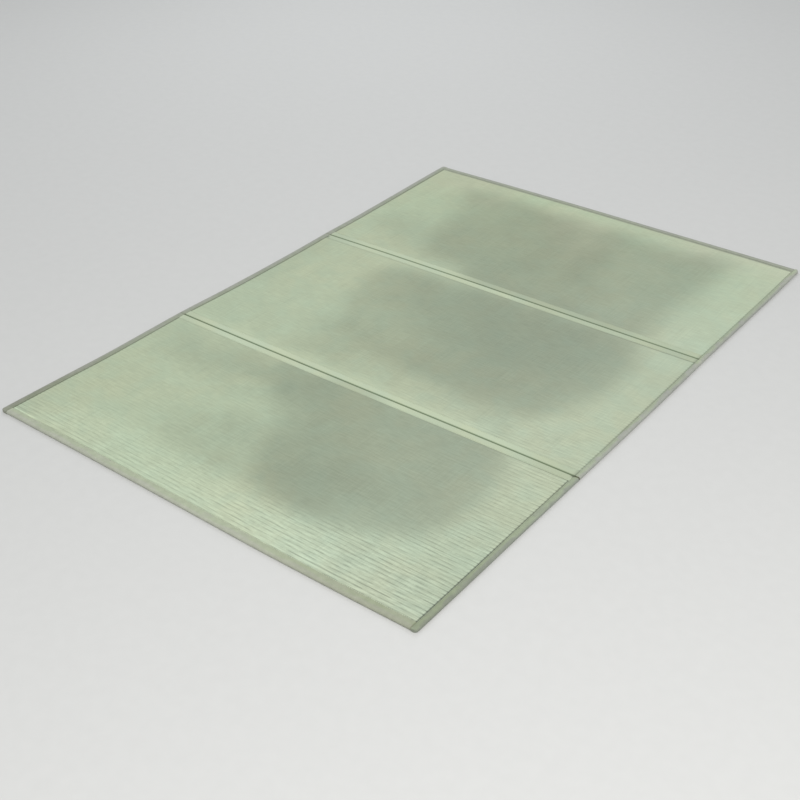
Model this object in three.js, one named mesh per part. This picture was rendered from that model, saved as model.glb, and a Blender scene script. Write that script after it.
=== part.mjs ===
// A tri-fold tatami mat, opened out flat: three ribbed rush panels, a strip sewn over each fold
// and a cloth binding wrapped round the outside.
// Millimetres. +X runs across the width, along the ribs. +Y runs along the length, from the near
// panel to the far one. +Z is up. The origin is on the floor, under the middle of the rectangle
// that encloses the mat.
import * as THREE from "three";

// The whole mat
const WIDTH = 1400;
const LENGTH = 1997;
const TOP = 10;

// The ribs of the rush facing, counted over each panel's open field
const RIBS = { near: 48, middle: 55, far: 50 };
const GROOVE_Z = 8.9;
const RIB_SHOULDER = 0.24;

// The panels are pressed thin where a binding or a strip is sewn over them
const PRESSED_TOP = 8.5;
const PRESSED_UNDER = 1.5;
const PANEL_INSET = 6;
const CLEAR = 0.3;
const END_SLOPE = 1.5;
const SIDE_SLOPE = 5.7;

// The binding's width by the side that it is on, its cloth, and its rounded outer edge. The lip
// along the panel lies a little lower than the crown.
const BAND = { front: 21, back: 25, left: 22, rightNear: 15, rightFar: 12.5 };
const CLOTH = 1.2;
const EDGE_ROUND = 4.6;
const EDGE_TURNS = [90, 50, 0, -50, -90];
const CROWN_SHARE = 0.55;
const LIP_DROP = 0.3;

// The corners, the folded ends of the side bands, and the cut in the right band at the first fold
const CORNER_RADIUS = 8;
const END_FOLD = 2;
const END_STEPS = [
  { distance: 0, filled: true },
  { distance: 0.6, filled: true },
  { distance: END_FOLD, filled: true },
  { distance: END_FOLD + 0.05, filled: false },
  { distance: 4.4, filled: false },
  { distance: CORNER_RADIUS, filled: false },
];
const RIGHT_CUT = 0.6;
const WIDER_PAST_FOLD = 3;

// The strip over each fold, and half of the slit that it dips into
const STRIP_HALF = 24;
const STRIP_TOP = 9.9;
const STRIP_CLOTH = 1.1;
const STRIP_LIP = 1.5;
const SLIT = { near: 1.0, far: 0.7 };
const PANEL_FROM_FOLD = 4.2;
// The strip's way out of the slit. The outside's distance from the fold line is in halves of the
// slit and the underside's is past the slit, and each depth is under the strip's top.
const FOLD_WAY = [
  { halves: 0.7, depth: 5.0, under: 0.8, underDepth: 6.1 },
  { halves: 1.2, depth: 2.4, under: 1.3, underDepth: 3.0 },
  { halves: 2.2, depth: 0.7, under: 1.8, underDepth: 1.9 },
];
const FOLD_SHOULDER = { out: 4.5, under: 4 };

// The uneven outline, as distances in from the enclosing rectangle, and the run of both folds.
// A row for each place across the width:
const ACROSS = [
  { x: -700, front: 4.0, nearFold: -349.0, farFold: 313.0, back: 4.7 },
  { x: -400, front: 4.5, nearFold: -349.3, farFold: 320.3, back: 0.4 },
  { x: -120, front: 2.9, nearFold: -347.7, farFold: 323.4, back: 0.0 },
  { x: 250, front: 0.0, nearFold: -343.1, farFold: 323.9, back: 3.4 },
  { x: 480, front: 1.9, nearFold: -340.7, farFold: 325.5, back: 5.0 },
  { x: 700, front: 6.0, nearFold: -339.0, farFold: 328.0, back: 7.7 },
];
// A row for each place along the length:
const ALONG = [
  { y: -998.5, left: 0.0, right: 2.3 },
  { y: -820, left: 4.4, right: 1.3 },
  { y: -640, left: 10.0, right: 1.6 },
  { y: -346, left: 6.8, right: 0.6 },
  { y: -180, left: 14.0, right: 0.0 },
  { y: 0, left: 16.7, right: 0.2 },
  { y: 200, left: 16.0, right: 1.2 },
  { y: 320, left: 12.0, right: 3.2 },
  { y: 440, left: 13.3, right: 2.8 },
  { y: 640, left: 9.3, right: 2.3 },
  { y: 820, left: 4.5, right: 1.8 },
  { y: 998.5, left: 0.9, right: 3.8 },
];

// Rows this close to the end of a line add no point to it
const ROW_MARGIN = 30;

// Straight lines between a table's rows
function fromTable(rows, at, column, place) {
  let next = 1;
  while (next < rows.length - 1 && place > rows[next][at]) {
    next += 1;
  }
  const low = rows[next - 1];
  const high = rows[next];
  return THREE.MathUtils.mapLinear(place, low[at], high[at], low[column], high[column]);
}

const frontEdge = (x) => -LENGTH / 2 + fromTable(ACROSS, "x", "front", x);
const backEdge = (x) => LENGTH / 2 - fromTable(ACROSS, "x", "back", x);
const nearFold = (x) => fromTable(ACROSS, "x", "nearFold", x);
const farFold = (x) => fromTable(ACROSS, "x", "farFold", x);
const leftEdge = (y) => -WIDTH / 2 + fromTable(ALONG, "y", "left", y);
const rightEdge = (y) => WIDTH / 2 - fromTable(ALONG, "y", "right", y);
const rightBand = (y) => (y < nearFold(WIDTH / 2) + WIDER_PAST_FOLD ? BAND.rightNear : BAND.rightFar);

const leftLip = (y) => leftEdge(y) + BAND.left;
const rightLip = (y) => rightEdge(y) - rightBand(y);

// Triangles between two chains of points, in the order that keeps both chains' own direction.
// Chains of equal length are joined point to point, and others by their place along Y.
function zip(out, a, b) {
  const place = a.length === b.length ? (chain, i) => i : (chain, i) => chain[i].y;
  let i = 0;
  let j = 0;
  while (i < a.length - 1 || j < b.length - 1) {
    const stepA = j === b.length - 1 || (i < a.length - 1 && place(a, i + 1) <= place(b, j + 1));
    if (stepA) {
      out.push(a[i], a[i + 1], b[j]);
      i += 1;
    } else {
      out.push(a[i], b[j + 1], b[j]);
      j += 1;
    }
  }
}

// A closed solid through a row of stations. Each station has a chain of points over its upper
// side and one over its under side, both running the same way, and the ends are closed.
function solid(name, stations, material) {
  const points = [];
  const last = stations.length - 1;
  for (let k = 0; k < last; k++) {
    const here = stations[k];
    const next = stations[k + 1];
    zip(points, next.upper, here.upper);
    zip(points, here.under, next.under);
    zip(points, [here.upper[0], here.under[0]], [next.upper[0], next.under[0]]);
    zip(points, [next.upper.at(-1), next.under.at(-1)], [here.upper.at(-1), here.under.at(-1)]);
  }
  zip(points, stations[0].upper, stations[0].under);
  zip(points, stations[last].under, stations[last].upper);
  const geometry = new THREE.BufferGeometry().setFromPoints(points);
  geometry.computeVertexNormals();
  const mesh = new THREE.Mesh(geometry, material);
  mesh.name = name;
  return mesh;
}

// The point of a line that runs along the mat where it meets a curve that runs across it
function meet(lineX, curveY) {
  let x = lineX(0);
  for (let round = 0; round < 4; round++) {
    x = lineX(curveY(x));
  }
  return { x, y: curveY(x) };
}

// Places along the length where a straight-sided line needs a point, between two ends
function stops(from, to) {
  const rows = ALONG.map((row) => row.y).filter((y) => y > from + ROW_MARGIN && y < to - ROW_MARGIN);
  return [from, ...rows, to];
}

// One panel. Its near and far borders are curves across the mat, each with the width that is
// sewn under and the distance from the border's line to the panel's own cut edge.
function panel(name, ribs, nearBorder, farBorder, material) {
  const cutNear = (x) => nearBorder.line(x) + nearBorder.inset;
  const cutFar = (x) => farBorder.line(x) - farBorder.inset;
  const lipNear = (x) => nearBorder.line(x) + nearBorder.width + CLEAR;
  const lipFar = (x) => farBorder.line(x) - farBorder.width - CLEAR;
  const fieldNear = (x) => lipNear(x) + END_SLOPE;
  const fieldFar = (x) => lipFar(x) - END_SLOPE;
  const nearUnder = nearBorder.wrapped ? PRESSED_UNDER : 0;
  const farUnder = farBorder.wrapped ? PRESSED_UNDER : 0;

  // A line under a side binding, pressed thin over its whole length
  const pressed = (lineX) => {
    const [cut, lip, field] = [cutNear, lipNear, fieldNear].map((curve) => meet(lineX, curve).y);
    const [endField, endLip, endCut] = [fieldFar, lipFar, cutFar].map((curve) => meet(lineX, curve).y);
    const places = [cut, lip, ...stops(field, endField), endLip, endCut];
    const at = (z) => places.map((y) => new THREE.Vector3(lineX(y), y, z));
    return { upper: at(PRESSED_TOP), under: at(PRESSED_UNDER) };
  };

  // A line over the open field, with the ribs along its upper side
  const ribbed = (lineX) => {
    const point = (curve, z) => {
      const { x, y } = meet(lineX, curve);
      return new THREE.Vector3(x, y, z);
    };
    const upper = [point(cutNear, PRESSED_TOP), point(lipNear, PRESSED_TOP)];
    for (let rib = 0; rib < ribs; rib++) {
      const share = (part) => (x) => THREE.MathUtils.lerp(fieldNear(x), fieldFar(x), (rib + part) / ribs);
      upper.push(point(share(0), GROOVE_Z));
      upper.push(point(share(RIB_SHOULDER), TOP));
      upper.push(point(share(1 - RIB_SHOULDER), TOP));
    }
    upper.push(point(fieldFar, GROOVE_Z), point(lipFar, PRESSED_TOP), point(cutFar, PRESSED_TOP));

    const under = [point(cutNear, nearUnder)];
    if (nearBorder.wrapped) {
      under.push(point(lipNear, nearUnder));
    }
    const from = meet(lineX, nearBorder.wrapped ? fieldNear : cutNear).y;
    const to = meet(lineX, farBorder.wrapped ? fieldFar : cutFar).y;
    const floor = stops(from, to).map((y) => new THREE.Vector3(lineX(y), y, 0));
    under.push(...floor.slice(nearBorder.wrapped ? 0 : 1, farBorder.wrapped ? undefined : -1));
    if (farBorder.wrapped) {
      under.push(point(lipFar, farUnder));
    }
    under.push(point(cutFar, farUnder));
    return { upper, under };
  };

  const inner = ACROSS.slice(1, -1).map((row) => ribbed(() => row.x));
  const stations = [
    pressed((y) => leftEdge(y) + PANEL_INSET),
    pressed((y) => leftLip(y) + CLEAR),
    ribbed((y) => leftLip(y) + CLEAR + SIDE_SLOPE),
    ...inner,
    ribbed((y) => rightLip(y) - CLEAR - SIDE_SLOPE),
    pressed((y) => rightLip(y) - CLEAR),
    pressed((y) => rightEdge(y) - PANEL_INSET),
  ];
  return solid(name, stations, material);
}

// The binding's section: distance in from the outer edge and height, from the upper lip round
// the edge to the lower lip. The upper chain is the cloth's outside, the under chain its inside.
function bandSection(width) {
  const round = (depth) =>
    EDGE_TURNS.map((turn) => {
      const angle = THREE.MathUtils.degToRad(turn);
      const into = EDGE_ROUND - (EDGE_ROUND - depth) * Math.cos(angle);
      return [into, TOP / 2 + (TOP / 2 - depth) * Math.sin(angle)];
    });
  const crown = CROWN_SHARE * width;
  return {
    outside: [[width, TOP - LIP_DROP], [crown, TOP], ...round(0), [width, 0]],
    inside: [[width, TOP - CLOTH], [crown, TOP - CLOTH], ...round(CLOTH), [width, CLOTH]],
  };
}

// The same section filled in solid, for the folded end of a band
function filledSection(width) {
  const { outside, inside } = bandSection(width);
  const last = inside.length - 1;
  const lip = inside.map((_, k) => [width, THREE.MathUtils.lerp(TOP - CLOTH, CLOTH, k / last)]);
  return { outside, inside: lip };
}

// How far a rounded corner draws the outer edge in, at a distance from the band's end
function cornerInset(distance) {
  const short = Math.max(CORNER_RADIUS - distance, 0);
  return CORNER_RADIUS - Math.sqrt(CORNER_RADIUS ** 2 - short ** 2);
}

// A band round a side, from one curve across the mat to another. Each end is folded shut, and
// a corner of the mat is rounded.
function sideBand(name, edgeX, inward, width, start, end, material) {
  const station = (curve, distance, section, inset) => {
    const place = ([into, z]) => {
      const drawn = inset + (into * (width - inset)) / width;
      const { x, y } = meet((at) => edgeX(at) + inward * drawn, (at) => curve(at) + distance);
      return new THREE.Vector3(x, y, z);
    };
    return { upper: section.outside.map(place), under: section.inside.map(place) };
  };
  const open = bandSection(width);
  const filled = filledSection(width);
  const endPart = (side, away) => {
    const drawn = (distance) => (side.corner ? cornerInset(distance) : 0);
    return END_STEPS.map(({ distance, filled: tip }) =>
      station(side.curve, away * distance, tip ? filled : open, drawn(distance)),
    );
  };
  const from = start.curve(edgeX(start.near)) + CORNER_RADIUS;
  const to = end.curve(edgeX(end.near)) - CORNER_RADIUS;
  const middle = stops(from, to).slice(1, -1);
  const stations = [
    ...endPart(start, 1),
    ...middle.map((y) => station(() => y, 0, open, 0)),
    ...endPart(end, -1).reverse(),
  ];
  if (inward < 0) {
    stations.reverse();
  }
  return solid(name, stations, material);
}

// Stations across the mat between the lips of the side bindings
function acrossLines() {
  return [
    (y) => leftLip(y) + CLEAR,
    ...ACROSS.slice(1, -1).map((row) => () => row.x),
    (y) => rightLip(y) - CLEAR,
  ];
}

// A band round the front or the back end, between the side bindings
function endBand(name, edgeY, inward, width, material) {
  const section = bandSection(width);
  const stations = acrossLines().map((lineX) => {
    const place = ([into, z]) => {
      const { x, y } = meet(lineX, (at) => edgeY(at) + inward * into);
      return new THREE.Vector3(x, y, z);
    };
    return { upper: section.outside.map(place), under: section.inside.map(place) };
  });
  if (inward > 0) {
    stations.reverse();
  }
  return solid(name, stations, material);
}

// The strip over a fold: flat on both panels and folded down into the slit between them
function foldStrip(name, foldY, slit, material) {
  const under = STRIP_TOP - STRIP_CLOTH;
  const inSlit = FOLD_WAY.map((row) => ({
    out: [slit * row.halves, STRIP_TOP - row.depth],
    under: [slit + row.under, STRIP_TOP - row.underDepth],
  }));
  const half = [
    ...inSlit,
    { out: [FOLD_SHOULDER.out, STRIP_TOP], under: [FOLD_SHOULDER.under, under] },
    { out: [STRIP_HALF - STRIP_LIP, STRIP_TOP], under: [STRIP_HALF - STRIP_LIP, under] },
    { out: [STRIP_HALF, STRIP_TOP - LIP_DROP], under: [STRIP_HALF, under] },
  ];
  const chain = (key) => [
    ...half.map((row) => [-row[key][0], row[key][1]]).reverse(),
    ...half.map((row) => row[key]),
  ];
  const stations = acrossLines().map((lineX) => {
    const place = ([offset, z]) => {
      const { x, y } = meet(lineX, (at) => foldY(at) + offset);
      return new THREE.Vector3(x, y, z);
    };
    return { upper: chain("out").map(place), under: chain("under").map(place) };
  });
  return solid(name, stations, material);
}

const cloth = (color) => new THREE.MeshStandardMaterial({ color, roughness: 0.85, metalness: 0 });
const RUSH = "#b7c2ab";
const STRIP = "#bcc8a8";
const BINDING = "#979d8b";

const atFront = { line: frontEdge, width: BAND.front, inset: PANEL_INSET, wrapped: true };
const atBack = { line: backEdge, width: BAND.back, inset: PANEL_INSET, wrapped: true };
const atNearFold = { line: nearFold, width: STRIP_HALF, inset: PANEL_FROM_FOLD, wrapped: false };
const atFarFold = { line: farFold, width: STRIP_HALF, inset: PANEL_FROM_FOLD, wrapped: false };

const frontCorner = { curve: frontEdge, near: -LENGTH / 2, corner: true };
const backCorner = { curve: backEdge, near: LENGTH / 2, corner: true };
const cutBefore = { curve: (x) => nearFold(x) - RIGHT_CUT, near: nearFold(WIDTH / 2), corner: false };
const cutAfter = { curve: (x) => nearFold(x) + RIGHT_CUT, near: nearFold(WIDTH / 2), corner: false };

const mat = new THREE.Group();
mat.name = "tatami_mat";
mat.add(
  panel("panel_near", RIBS.near, atFront, atNearFold, cloth(RUSH)),
  panel("panel_middle", RIBS.middle, atNearFold, atFarFold, cloth(RUSH)),
  panel("panel_far", RIBS.far, atFarFold, atBack, cloth(RUSH)),
  foldStrip("seam_strip_near", nearFold, SLIT.near, cloth(STRIP)),
  foldStrip("seam_strip_far", farFold, SLIT.far, cloth(STRIP)),
  endBand("binding_front", frontEdge, 1, BAND.front, cloth(BINDING)),
  endBand("binding_back", backEdge, -1, BAND.back, cloth(BINDING)),
  sideBand("binding_left", leftEdge, 1, BAND.left, frontCorner, backCorner, cloth(BINDING)),
  sideBand("binding_right_near", rightEdge, -1, BAND.rightNear, frontCorner, cutBefore, cloth(BINDING)),
  sideBand("binding_right_far", rightEdge, -1, BAND.rightFar, cutAfter, backCorner, cloth(BINDING)),
);

export default mat;
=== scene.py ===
import bpy
import numpy as np
from mathutils import Matrix, Vector


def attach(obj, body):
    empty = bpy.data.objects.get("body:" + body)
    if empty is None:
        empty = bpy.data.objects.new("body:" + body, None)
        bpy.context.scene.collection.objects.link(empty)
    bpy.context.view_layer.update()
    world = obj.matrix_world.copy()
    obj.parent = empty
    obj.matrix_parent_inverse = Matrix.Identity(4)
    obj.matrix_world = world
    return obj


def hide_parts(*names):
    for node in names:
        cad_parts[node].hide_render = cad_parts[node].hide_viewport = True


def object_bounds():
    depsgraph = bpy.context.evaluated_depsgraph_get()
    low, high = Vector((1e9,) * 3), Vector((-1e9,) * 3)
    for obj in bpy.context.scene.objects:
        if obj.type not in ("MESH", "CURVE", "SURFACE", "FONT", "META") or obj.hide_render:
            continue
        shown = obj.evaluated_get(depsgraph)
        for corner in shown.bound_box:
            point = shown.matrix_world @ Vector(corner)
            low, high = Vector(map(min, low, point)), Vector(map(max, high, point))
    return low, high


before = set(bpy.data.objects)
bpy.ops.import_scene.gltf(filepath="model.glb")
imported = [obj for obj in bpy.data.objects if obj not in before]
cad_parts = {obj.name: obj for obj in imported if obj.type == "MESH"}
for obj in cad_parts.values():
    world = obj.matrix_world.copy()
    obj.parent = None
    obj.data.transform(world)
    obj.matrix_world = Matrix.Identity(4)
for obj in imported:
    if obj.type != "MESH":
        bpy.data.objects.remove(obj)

MM = 0.001
CAD_LOW, CAD_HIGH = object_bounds()
HALF_WIDTH = max(-CAD_LOW.x, CAD_HIGH.x) / MM
HALF_LENGTH = CAD_HIGH.y / MM
TOP = CAD_HIGH.z / MM

# The uneven outline, as distances in from the enclosing rectangle, and the run of both folds
ACROSS = {
    "x": (-700, -400, -120, 250, 480, 700),
    "front": (4.0, 4.5, 2.9, 0.0, 1.9, 6.0),
    "near_fold": (-349.0, -349.3, -347.7, -343.1, -340.7, -339.0),
    "far_fold": (313.0, 320.3, 323.4, 323.9, 325.5, 328.0),
    "back": (4.7, 0.4, 0.0, 3.4, 5.0, 7.7),
}
ALONG = {
    "y": (-998.5, -820, -640, -346, -180, 0, 200, 320, 440, 640, 820, 998.5),
    "left": (0, 4.4, 10, 6.8, 14, 16.7, 16, 12, 13.3, 9.3, 4.5, 0.9),
    "right": (2.3, 1.3, 1.6, 0.6, 0, 0.2, 1.2, 3.2, 2.8, 2.3, 1.8, 3.8),
}
ROUNDED = 120  # mm over which the corners of these tables are rounded

# The facing: ribs over each panel's open field, and how it is pressed thin at its borders
RIBS = {"near": 48, "middle": 55, "far": 50}
GROOVE_Z = 8.9
RIB_FULLNESS = 3.0
RIB_PHASES = (0.0, 0.05, 0.12, 0.24, 0.5, 0.76, 0.88, 0.95)
COLUMNS = 84
PRESSED_TOP = 8.5
PRESSED_UNDER = 1.5
PANEL_INSET = 6
CLEAR = 0.3
END_SLOPE = 1.5
SIDE_SLOPE = 5.7
KERB = 0.7  # how much of the rush's height is left beside the lip of an end band or a tape
KERB_WIDE = 0.2

# The binding
BAND = {"front": 21, "back": 25, "left": 22, "right_near": 15, "right_far": 12.5}
CLOTH = 1.2
EDGE_ROUND = 4.6
CROWN_SHARE = 0.55
LIP_DROP = 0.3
CORNER_RADIUS = 8
END_FOLD = 2
RIGHT_CUT = 0.6
WIDER_PAST_FOLD = 3
STATION = 12

# The tape over each fold, and half of the slit that it dips into
TAPE_HALF = 24
TAPE_TOP = 9.9
TAPE_CLOTH = 1.1
SLIT = {"near": 1.0, "far": 0.7}
PANEL_FROM_FOLD = 4.2

# Darker places in the rush, where the ribs are also pressed flatter: outlines on a panel, each with how soft
# its rim is and the share of brightness that it takes. A negative share is a paler place. Past a fold
# they run on under the tape.
TONE_PLACES = [
    {"panel": "far", "soft": 60, "takes": 0.22, "rim": [
        (-500, 880), (-300, 900), (-100, 885), (120, 885), (300, 870), (420, 900), (500, 890), (505, 700),
        (500, 500), (500, 290), (-130, 290), (-200, 375), (-345, 410), (-385, 560), (-430, 700)]},
    {"panel": "far", "soft": 90, "takes": 0.12, "rim": [
        (-600, 470), (-580, 590), (-430, 600), (-300, 640), (-260, 380), (-420, 390)]},
    {"panel": "far", "soft": 60, "takes": 0.08, "rim": [
        (-240, 860), (-60, 880), (10, 700), (40, 520), (-40, 400), (-260, 420), (-280, 600)]},
    {"panel": "far", "soft": 45, "takes": 0.06, "rim": [
        (90, 860), (170, 860), (180, 600), (230, 500), (120, 480), (80, 640)]},
    {"panel": "far", "soft": 30, "takes": 0.05, "rim": [
        (-160, 300), (-160, 385), (480, 385), (480, 300)]},
    {"panel": "far", "soft": 80, "takes": 0.08, "rim": [
        (-20, 760), (180, 700), (300, 420), (260, 310), (-140, 310), (-60, 500)]},
    {"panel": "far", "soft": 55, "takes": -0.09, "rim": [
        (540, 1050), (760, 1050), (760, 290), (540, 290)]},
    {"panel": "far", "soft": 40, "takes": -0.07, "rim": [
        (-360, 920), (-360, 1050), (760, 1050), (760, 920)]},
    {"panel": "middle", "soft": 55, "takes": 0.20, "rim": [
        (-385, 215), (-350, 262), (-150, 288), (100, 325), (430, 325), (510, 280), (565, 200), (560, 40),
        (525, -110), (450, -200), (250, -222), (60, -215), (-110, -185), (-260, -140), (-330, 0), (-375, 120)]},
    {"panel": "middle", "soft": 80, "takes": 0.14, "rim": [
        (-300, 255), (0, 310), (490, 320), (525, 220), (520, 60), (440, -140), (250, -160), (30, -140),
        (-60, 0), (-250, 110)]},
    {"panel": "middle", "soft": 90, "takes": 0.07, "rim": [
        (-60, 290), (380, 290), (400, 60), (260, -80), (80, 0)]},
    {"panel": "middle", "soft": 70, "takes": 0.09, "rim": [
        (-340, -110), (-300, -310), (-80, -315), (60, -305), (420, -290), (460, -190), (300, -120)]},
    {"panel": "middle", "soft": 45, "takes": 0.07, "rim": [
        (-760, 270), (-620, 270), (-610, -60), (-760, -60)]},
    {"panel": "middle", "soft": 40, "takes": 0.08, "rim": [
        (-270, -290), (-120, -290), (-110, -180), (-250, -175)]},
    {"panel": "middle", "soft": 25, "takes": -0.08, "rim": [
        (-760, -400), (-760, -310), (400, -300), (400, -400)]},
    {"panel": "middle", "soft": 30, "takes": -0.05, "rim": [
        (560, 400), (760, 400), (760, 235), (580, 235)]},
    {"panel": "near", "soft": 45, "takes": 0.21, "rim": [
        (-260, -330), (515, -330), (550, -480), (575, -570), (550, -660), (525, -745), (430, -805),
        (300, -845), (130, -852), (40, -822), (-20, -720), (-60, -600), (-130, -520), (-280, -470)]},
    {"panel": "near", "soft": 70, "takes": 0.13, "rim": [
        (-120, -330), (60, -330), (160, -560), (330, -700), (300, -820), (120, -850), (50, -760), (-10, -560)]},
    {"panel": "near", "soft": 60, "takes": 0.10, "rim": [
        (40, -330), (500, -330), (520, -700), (400, -760), (200, -640)]},
    {"panel": "near", "soft": 70, "takes": 0.06, "rim": [
        (-180, -640), (60, -640), (240, -680), (220, -840), (-120, -840)]},
    {"panel": "near", "soft": 70, "takes": 0.13, "rim": [
        (-620, -420), (-330, -390), (-60, -360), (-40, -480), (-140, -560), (-350, -550), (-560, -530)]},
    {"panel": "near", "soft": 35, "takes": 0.07, "rim": [
        (-380, -370), (-295, -360), (-290, -470), (-375, -480)]},
    {"panel": "near", "soft": 35, "takes": -0.09, "rim": [
        (-270, -410), (-190, -420), (-180, -520), (-275, -520)]},
    {"panel": "near", "soft": 60, "takes": 0.09, "rim": [
        (-330, -700), (-160, -620), (-40, -580), (10, -860), (-220, -860), (-310, -800)]},
    {"panel": "near", "soft": 45, "takes": -0.10, "rim": [
        (-560, -860), (-320, -832), (0, -852), (380, -862), (420, -1050), (-620, -1050)]},
    {"panel": "near", "soft": 50, "takes": 0.04, "rim": [
        (560, -540), (760, -540), (760, -1050), (590, -1050)]},
]

# The same for the halves of the tapes: from where to where across the mat
TAPE_TONE_PLACES = [
    {"half": "near_before", "soft": 40, "takes": 0.06, "span": (-800, -610)},
    {"half": "near_before", "soft": 60, "takes": -0.05, "span": (-520, -370)},
    {"half": "near_before", "soft": 60, "takes": 0.16, "span": (-90, 90)},
    {"half": "near_before", "soft": 80, "takes": 0.06, "span": (210, 900)},
    {"half": "near_before", "soft": 90, "takes": 0.12, "span": (570, 900)},
    {"half": "near_after", "soft": 40, "takes": 0.07, "span": (-800, -610)},
    {"half": "near_after", "soft": 60, "takes": -0.04, "span": (-500, -270)},
    {"half": "near_after", "soft": 120, "takes": 0.14, "span": (560, 900)},
    {"half": "far_before", "soft": 70, "takes": 0.11, "span": (-900, -580)},
    {"half": "far_before", "soft": 60, "takes": 0.11, "span": (110, 900)},
    {"half": "far_before", "soft": 90, "takes": 0.06, "span": (560, 900)},
    {"half": "far_after", "soft": 60, "takes": 0.10, "span": (-900, -580)},
    {"half": "far_after", "soft": 80, "takes": 0.20, "span": (-130, 440)},
    {"half": "far_after", "soft": 90, "takes": 0.11, "span": (400, 900)},
]
FLATTEST_AT = 0.3  # the share of light taken at which the ribs are pressed flattest

# And for the side bindings: where along the mat, and how far to each side
BAND_TONE_PLACES = [
    {"band": "left", "takes": 0.06, "at": -960, "wide": 200},
    {"band": "right_far", "takes": -0.15, "at": 322, "wide": 38},
    {"band": "right_far", "takes": -0.12, "at": 960, "wide": 110},
]

# How crisp the ribs are, as shares of their full depth: along the length at the left side and
# at the right side, and the way from the one to the other across the width
CRISP = {
    "y": (-1000, -930, -870, -800, -600, -400, -220, 0, 200),
    "left": (0.5, 0.26, 0.12, 0.03, 0.03, 0.02, 0.01, 0.0, 0.0),
    "right": (1.0, 0.95, 0.8, 0.63, 0.45, 0.38, 0.19, 0.06, 0.0),
}
CRISP_ACROSS = {"x": (-300, 0, 150, 300, 450, 600), "share": (0.05, 0.16, 0.45, 0.62, 0.7, 1.0)}
FLAT_SHARE = 0.07  # the share of their height that the flattest ribs keep

# The line of painted shade in the rush along the side bindings, where it dips under their lips: how dark it is at
# the left and at the right, from the front to the back, and how near the right lip it keeps, as shares
LIP_SHADE_DARK = {"left": 0.25, "right": ((-800, -550, -345, -335), (0.86, 0.73, 0.77, 0.5))}
LIP_SHADE_NEAR = {"near": 0.88, "middle": 0.7, "far": 0.88}

# How far the painted shade beside a sewn line spreads; and a fold's crease across a band: its spread, its depth,
# and the painted shade in it
SEAM_WIDE = 3.0
CREASE_WIDE = 2.6
CREASE_DEEP = 0.3
CREASE_SHADE = {"left": 0.22, "right_near": 0.0, "right_far": 0.12}
END_DIM = 0.2  # the share of light that the front band loses towards its right end
END_LINE = 0.3  # and in the line beside the side band there, over the last few mm
END_LINE_WIDE = 2.5
END_STEPS = (1.2, 2.6, 4.5)
FRONT_DIM = {"left": 0.17, "right_near": 0.18, "right_far": 0.0}  # and a side band towards the front
FRONT_DIM_OVER = 600
TIP = {"left": 0.8, "right_near": 0.4, "right_far": 0.3}  # how grey and pale a side band's corner is
CREASE_STEPS = (-9, -6, -4, -2.5, -1.2, 0, 1.2, 2.5, 4, 6, 9)

# What the tape keeps of each part of the light down in a fold: a painted shade
FOLD_TINT = (0.45, 0.5, 0.44, 1.0)

# Painted shade where a tape's end is tucked in: the near tape's right end, the far one's left.
# At both tapes' right ends a line of painted shade runs on beside the binding: before and past the fold.
TAPE_END_SHADE = {
    "near": {"dark": 0.85, "at": -3.5, "long": 4.5, "wide": 4.5},
    "far": {"dark": 0.8, "at": -16.0, "long": 8.0, "wide": 5.5},
}
END_SEAM_SHADE = {"near": (0.0, 0.5), "far": (0.4, 0.4)}
# Painted shade on the right near band's cut end where the near tape is tucked in: how much, how wide and how long
TUCKED_SHADE = {"left": 0.0, "right_near": 0.5, "right_far": 0.0}  # and the near spot on the band's cut end
TUCKED_WIDE = 8.0
TUCKED_LONG = 5.5

# Stitches: length, thickness and pitch of a thread's visible run, and its distance from the lip
STITCH_LONG = 3.2
STITCH_THICK = 0.7
STITCH_PITCH = 5.0
STITCH_IN = 2.4
ROW_IN = 5.5
THREAD_OF = {"left": "grey", "right_near": "dark", "right_far": "dark", "front": "pale", "back": "grey"}
THREAD_SCALE = {"left": 1.0, "right_near": 1.0, "right_far": 1.0, "front": 1.6, "back": 1.0}


def rounded(table, at, column, place):
    """A table's column at each place: straight between its rows, and averaged over a short
    stretch so that no corner shows."""
    around = np.add.outer(np.asarray(place, float), np.linspace(-ROUNDED / 2, ROUNDED / 2, 9))
    return np.interp(around, table[at], table[column]).mean(axis=-1)


def front_edge(x):
    return rounded(ACROSS, "x", "front", x) - HALF_LENGTH


def back_edge(x):
    return HALF_LENGTH - rounded(ACROSS, "x", "back", x)


def near_fold(x):
    return rounded(ACROSS, "x", "near_fold", x)


def far_fold(x):
    return rounded(ACROSS, "x", "far_fold", x)


def left_edge(y):
    return rounded(ALONG, "y", "left", y) - HALF_WIDTH


def right_edge(y):
    return HALF_WIDTH - rounded(ALONG, "y", "right", y)


def left_lip(y):
    return left_edge(y) + BAND["left"]


def right_lip(y):
    """The right binding's inner edge. It steps out just past the first fold."""
    before = np.asarray(y) < near_fold(HALF_WIDTH) + WIDER_PAST_FOLD
    return right_edge(y) - np.where(before, BAND["right_near"], BAND["right_far"])


def waves(x, y, size, seed, count=9):
    """A slow uneven height from -1 to 1: a mean of sines that run in all directions, with
    wavelengths near size."""
    draw = np.random.default_rng(seed)
    turn = draw.uniform(0, 2 * np.pi, count)
    stretch = 2 * np.pi / (size * draw.uniform(0.6, 1.6, count))
    start = draw.uniform(0, 2 * np.pi, count)
    x, y = np.asarray(x, float)[..., None], np.asarray(y, float)[..., None]
    return np.sin((x * np.cos(turn) + y * np.sin(turn)) * stretch + start).mean(axis=-1) * 1.6


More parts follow.
